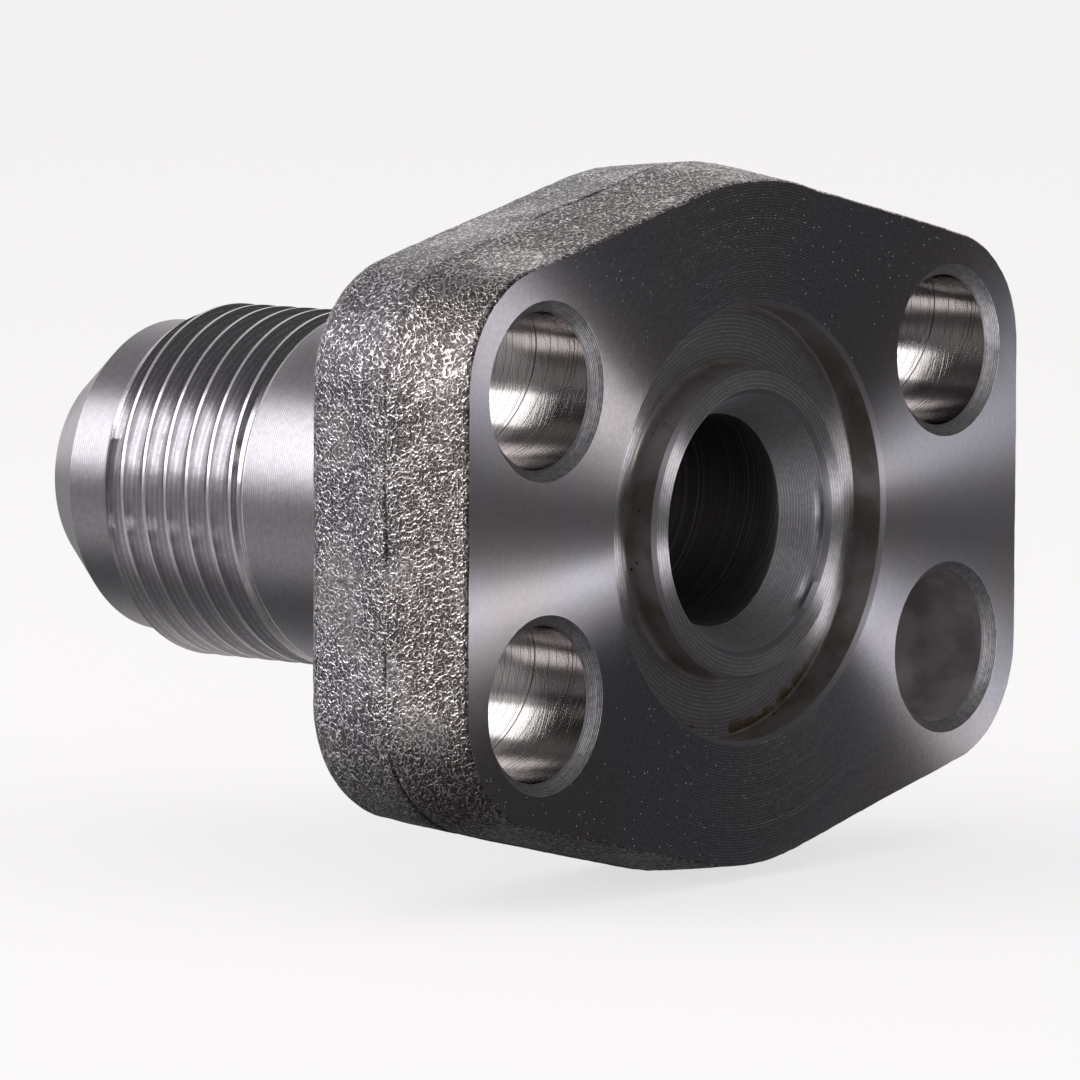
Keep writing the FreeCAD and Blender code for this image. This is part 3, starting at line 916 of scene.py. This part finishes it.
def faced_back():
    """The bright ring faced round the stem's root."""
    material, tree, shader, places = brushed_steel("faced_back", (0.54, 0.52, 0.53, 1), 0.32, 1.0)
    feed = axis_distance(tree, places)
    marks = rings(tree, places, feed, 0.25 * MM, 0.6)
    metal = blend(tree, ramp(tree, marks["Line"], -0.2, 1.0), (0.46, 0.445, 0.46, 1), (0.66, 0.64, 0.66, 1))
    tree.links.new(metal, shader.inputs["Base Color"])
    return material


finishes["turned_stem"] = turned_stem()
finishes["cut_thread"] = cut_thread()
finishes["faced_back"] = faced_back()

# The whole forging as one closed skin: the stretches above share their border points.
SHARP = math.radians(35)


def forging():
    """One mesh of all the stretches: points closer than a hundredth of a micron become
    one, faces that fold to nothing are dropped, and each face keeps its finish."""
    points = np.concatenate([patch[0] for patch in patches])
    seam = np.concatenate([patch[3] for patch in patches])
    keys = np.round(points / (1e-5 * MM))
    keys, index, twin = np.unique(keys, axis=0, return_index=True, return_inverse=True)
    twin = twin.ravel()
    start, triangles, quads = 0, [], []
    names = list(finishes)
    for patch_points, faces, finish, _ in patches:
        welded = twin[faces + start]
        start += len(patch_points)
        label = np.full(len(welded), names.index(finish))
        if welded.shape[1] == 3:
            triangles.append(np.column_stack([welded, label]))
            continue
        folded = (welded == np.roll(welded, -1, axis=1)).any(axis=1)
        quads.append(np.column_stack([welded, label])[~folded])
        for pick in ((0, 1, 2), (0, 2, 3)):
            triangles.append(np.column_stack([welded[folded][:, pick], label[folded]]))
    triangles = np.concatenate(triangles)
    corners = triangles[:, :3]
    triangles = triangles[(corners != np.roll(corners, -1, axis=1)).all(axis=1)]
    quads = np.concatenate(quads)
    mesh = bpy.data.meshes.new("flange_adapter_forging")
    mesh.vertices.add(len(keys))
    mesh.vertices.foreach_set("co", points[index].ravel())
    mesh.loops.add(len(quads) * 4 + len(triangles) * 3)
    corners = np.concatenate([quads[:, :4].ravel(), triangles[:, :3].ravel()])
    mesh.loops.foreach_set("vertex_index", corners)
    mesh.polygons.add(len(quads) + len(triangles))
    sizes = np.concatenate([np.full(len(quads), 4), np.full(len(triangles), 3)])
    mesh.polygons.foreach_set("loop_start", np.concatenate([[0], np.cumsum(sizes)[:-1]]))
    mesh.polygons.foreach_set("material_index", np.concatenate([quads[:, 4], triangles[:, 3]]))
    mesh.polygons.foreach_set("use_smooth", np.ones(len(sizes), bool))
    mesh.update(calc_edges=True)
    mesh.validate()
    mesh.set_sharp_from_angle(angle=SHARP)
    mesh.attributes.new("seam", "FLOAT", "POINT").data.foreach_set("value", seam[index])
    for name in names:
        mesh.materials.append(finishes[name])
    piece = bpy.data.objects.new("flange_adapter_forging", mesh)
    bpy.context.scene.collection.objects.link(piece)
    return piece


adapter = forging()
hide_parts("flange_adapter")
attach(adapter, "root")

# The floor under the lowest crown of the head: pale, matt and lit evenly. Mirrored in the
# metal it shows a painted picture: painted light beside and behind the object, a painted
# shadow of the stem along it, and painted dark in front, as if out of the lamps' reach.
FLOOR_COLOUR = (0.9215, 0.9047, 0.9047, 1)
FLOOR_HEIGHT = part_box("flange_adapter")[0].z - 0.1 * MM
FLOOR_REACH = 6.0
FLOOR_GLOW = 0.75
STEM_SHADOW_X = -14.5 * MM


def seen_directly(tree):
    """Two shares: one for rays from the camera, and one for mirrored or refracted rays."""
    path = put(tree, "ShaderNodeLightPath")
    mirrored = reckon(tree, "MAXIMUM", path.outputs["Is Glossy Ray"], path.outputs["Is Transmission Ray"])
    return path.outputs["Is Camera Ray"], mirrored


def floor():
    """A plain square of floor, with the painted picture that the metal mirrors of it."""
    mesh = bpy.data.meshes.new("floor")
    sides = ((-1, -1), (1, -1), (1, 1), (-1, 1))
    corners = [(x * FLOOR_REACH, y * FLOOR_REACH, FLOOR_HEIGHT) for x, y in sides]
    mesh.from_pydata(corners, [], [(0, 1, 2, 3)])
    material = bpy.data.materials.new("floor")
    material.use_nodes = True
    tree = material.node_tree
    tree.nodes.clear()
    camera_ray, mirrored = seen_directly(tree)
    place = split(tree, put(tree, "ShaderNodeTexCoord").outputs["Object"])
    # The mirrored picture is painted: painted light beside and behind the object, a painted shadow of the
    # stem, and painted dark in front.
    away = reckon(tree, "MULTIPLY_ADD", place["X"], -0.37, place["Y"])
    left = ramp(tree, place["X"], -0.12, -0.04)
    lit = blend(tree, left, (0.42, 0.41, 0.41, 1), (0.60, 0.59, 0.59, 1))
    from_shadow = reckon(tree, "ABSOLUTE", reckon(tree, "SUBTRACT", place["X"], STEM_SHADOW_X))
    painted_stem_shadow = reckon(tree, "MULTIPLY", ramp(tree, from_shadow, 0.024, 0.002), 0.72)
    lit = blend(tree, painted_stem_shadow, lit, (0.0, 0.0, 0.0, 1))
    picture = blend(tree, ramp(tree, away, 0.02, 0.045), (0.085, 0.083, 0.085, 1), lit)
    seen = blend(tree, camera_ray, picture, FLOOR_COLOUR)
    glow = put(tree, "ShaderNodeEmission", {"Color": seen, "Strength": 1.0})
    matt = put(tree, "ShaderNodeBsdfDiffuse", {"Color": FLOOR_COLOUR})
    share = reckon(tree, "MAXIMUM", reckon(tree, "MULTIPLY", camera_ray, FLOOR_GLOW), mirrored)
    mixed = put(tree, "ShaderNodeMixShader", {0: share, 1: matt.outputs[0], 2: glow.outputs[0]})
    put(tree, "ShaderNodeOutputMaterial", {"Surface": mixed.outputs[0]})
    mesh.materials.append(material)
    piece = bpy.data.objects.new("floor", mesh)
    bpy.context.scene.collection.objects.link(piece)
    return piece


floor()

# The room and its lamps. A big softbox stands on the left behind the head, and a long
# narrow one and a small low one in front draw the two streaks across the port face.


def studio():
    """The room: a pale sweep rises behind the object to about forty degrees, with a dark
    ceiling above it and a dark room in front. Straight from the camera it is all pale."""
    world = bpy.data.worlds.new("studio")
    bpy.context.scene.world = world
    world.use_nodes = True
    tree = world.node_tree
    tree.nodes.clear()
    camera_ray, mirrored = seen_directly(tree)
    way = split(tree, put(tree, "ShaderNodeTexCoord").outputs["Generated"])
    behind = ramp(tree, way["Y"], -0.15, 0.25)
    below = ramp(tree, way["Z"], 0.94, 0.60)
    pale = reckon(tree, "MAXIMUM", camera_ray, reckon(tree, "MULTIPLY", behind, below))
    seen = blend(tree, pale, (0.07, 0.069, 0.07, 1), FLOOR_COLOUR)
    picture = put(tree, "ShaderNodeBackground", {"Color": seen})
    even = put(tree, "ShaderNodeBackground", {"Color": (1.0, 1.0, 1.0, 1), "Strength": 0.9})
    share = reckon(tree, "MAXIMUM", camera_ray, mirrored)
    mixed = put(tree, "ShaderNodeMixShader", {0: share, 1: even.outputs[0], 2: picture.outputs[0]})
    put(tree, "ShaderNodeOutputWorld", {"Surface": mixed.outputs[0]})


studio()


def softbox(name, place, aim, along, length, width, radiance):
    """A rectangular lamp at a place, facing the point it aims at, its length running as
    near to a direction as that allows. Its power is what gives its surface the radiance.
    It lights and is mirrored, and the camera looks through it."""
    light = bpy.data.lights.new(name, "AREA")
    light.shape = "RECTANGLE"
    light.size = length
    light.size_y = width
    light.energy = radiance * math.pi * length * width
    lamp = bpy.data.objects.new(name, light)
    facing = (Vector(place) - Vector(aim)).normalized()
    across = facing.cross(Vector(along)).normalized()
    turned_to = Matrix((across.cross(facing), across, facing)).transposed()
    lamp.matrix_world = Matrix.Translation(Vector(place)) @ turned_to.to_4x4()
    lamp.visible_camera = False
    bpy.context.scene.collection.objects.link(lamp)


softbox("softbox_left", (-0.459, 0.348, 0.285), (0, 0.03, 0), (0.6, 0.8, 0), 0.52, 0.42, 3.4)
softbox("softbox_front", (0.24, -0.75, 0.134), (0, 0, 0), (-1, 0, 0.58), 0.40, 0.075, 20.0)
softbox(
    "softbox_low", (0.0243, -0.122, -0.0258), (0.0243, -0.122, 1), (0.874, -0.486, 0),
    0.06, 0.022, 46.0,
)

# The camera, a long lens at the photograph's viewing angle.
AZIMUTH = math.radians(-51.1417)
ELEVATION = math.radians(5.9448)
ROLL = math.radians(0.2430)
DISTANCE = 0.6380538
AIM_RIGHT = -15.3911 * MM
AIM_UP = -1.2808 * MM
FOCAL_PIXELS = 8817.1
FRAME_PIXELS = 1080
SENSOR = 36.0


def camera():
    """Stands at a distance from the point it looks at, which lies a little left of and
    below the centre of the port face, and rolls slightly about its own line of sight."""
    level = Vector((math.sin(AZIMUTH), -math.cos(AZIMUTH), 0))
    back = level * math.cos(ELEVATION) + Vector((0, 0, math.sin(ELEVATION)))
    right = Vector((math.cos(AZIMUTH), math.sin(AZIMUTH), 0))
    up = back.cross(right)
    eye = right * AIM_RIGHT + up * AIM_UP + back * DISTANCE
    rolled_right = right * math.cos(ROLL) + up * math.sin(ROLL)
    rolled_up = up * math.cos(ROLL) - right * math.sin(ROLL)
    data = bpy.data.cameras.new("camera")
    data.sensor_width = SENSOR
    data.lens = FOCAL_PIXELS * SENSOR / FRAME_PIXELS
    stand = bpy.data.objects.new("camera", data)
    stand.matrix_world = Matrix((
        (rolled_right.x, rolled_up.x, back.x, eye.x),
        (rolled_right.y, rolled_up.y, back.y, eye.y),
        (rolled_right.z, rolled_up.z, back.z, eye.z),
        (0, 0, 0, 1),
    ))
    bpy.context.scene.collection.objects.link(stand)
    bpy.context.scene.camera = stand


camera()
bpy.context.scene.view_settings.view_transform = "Standard"
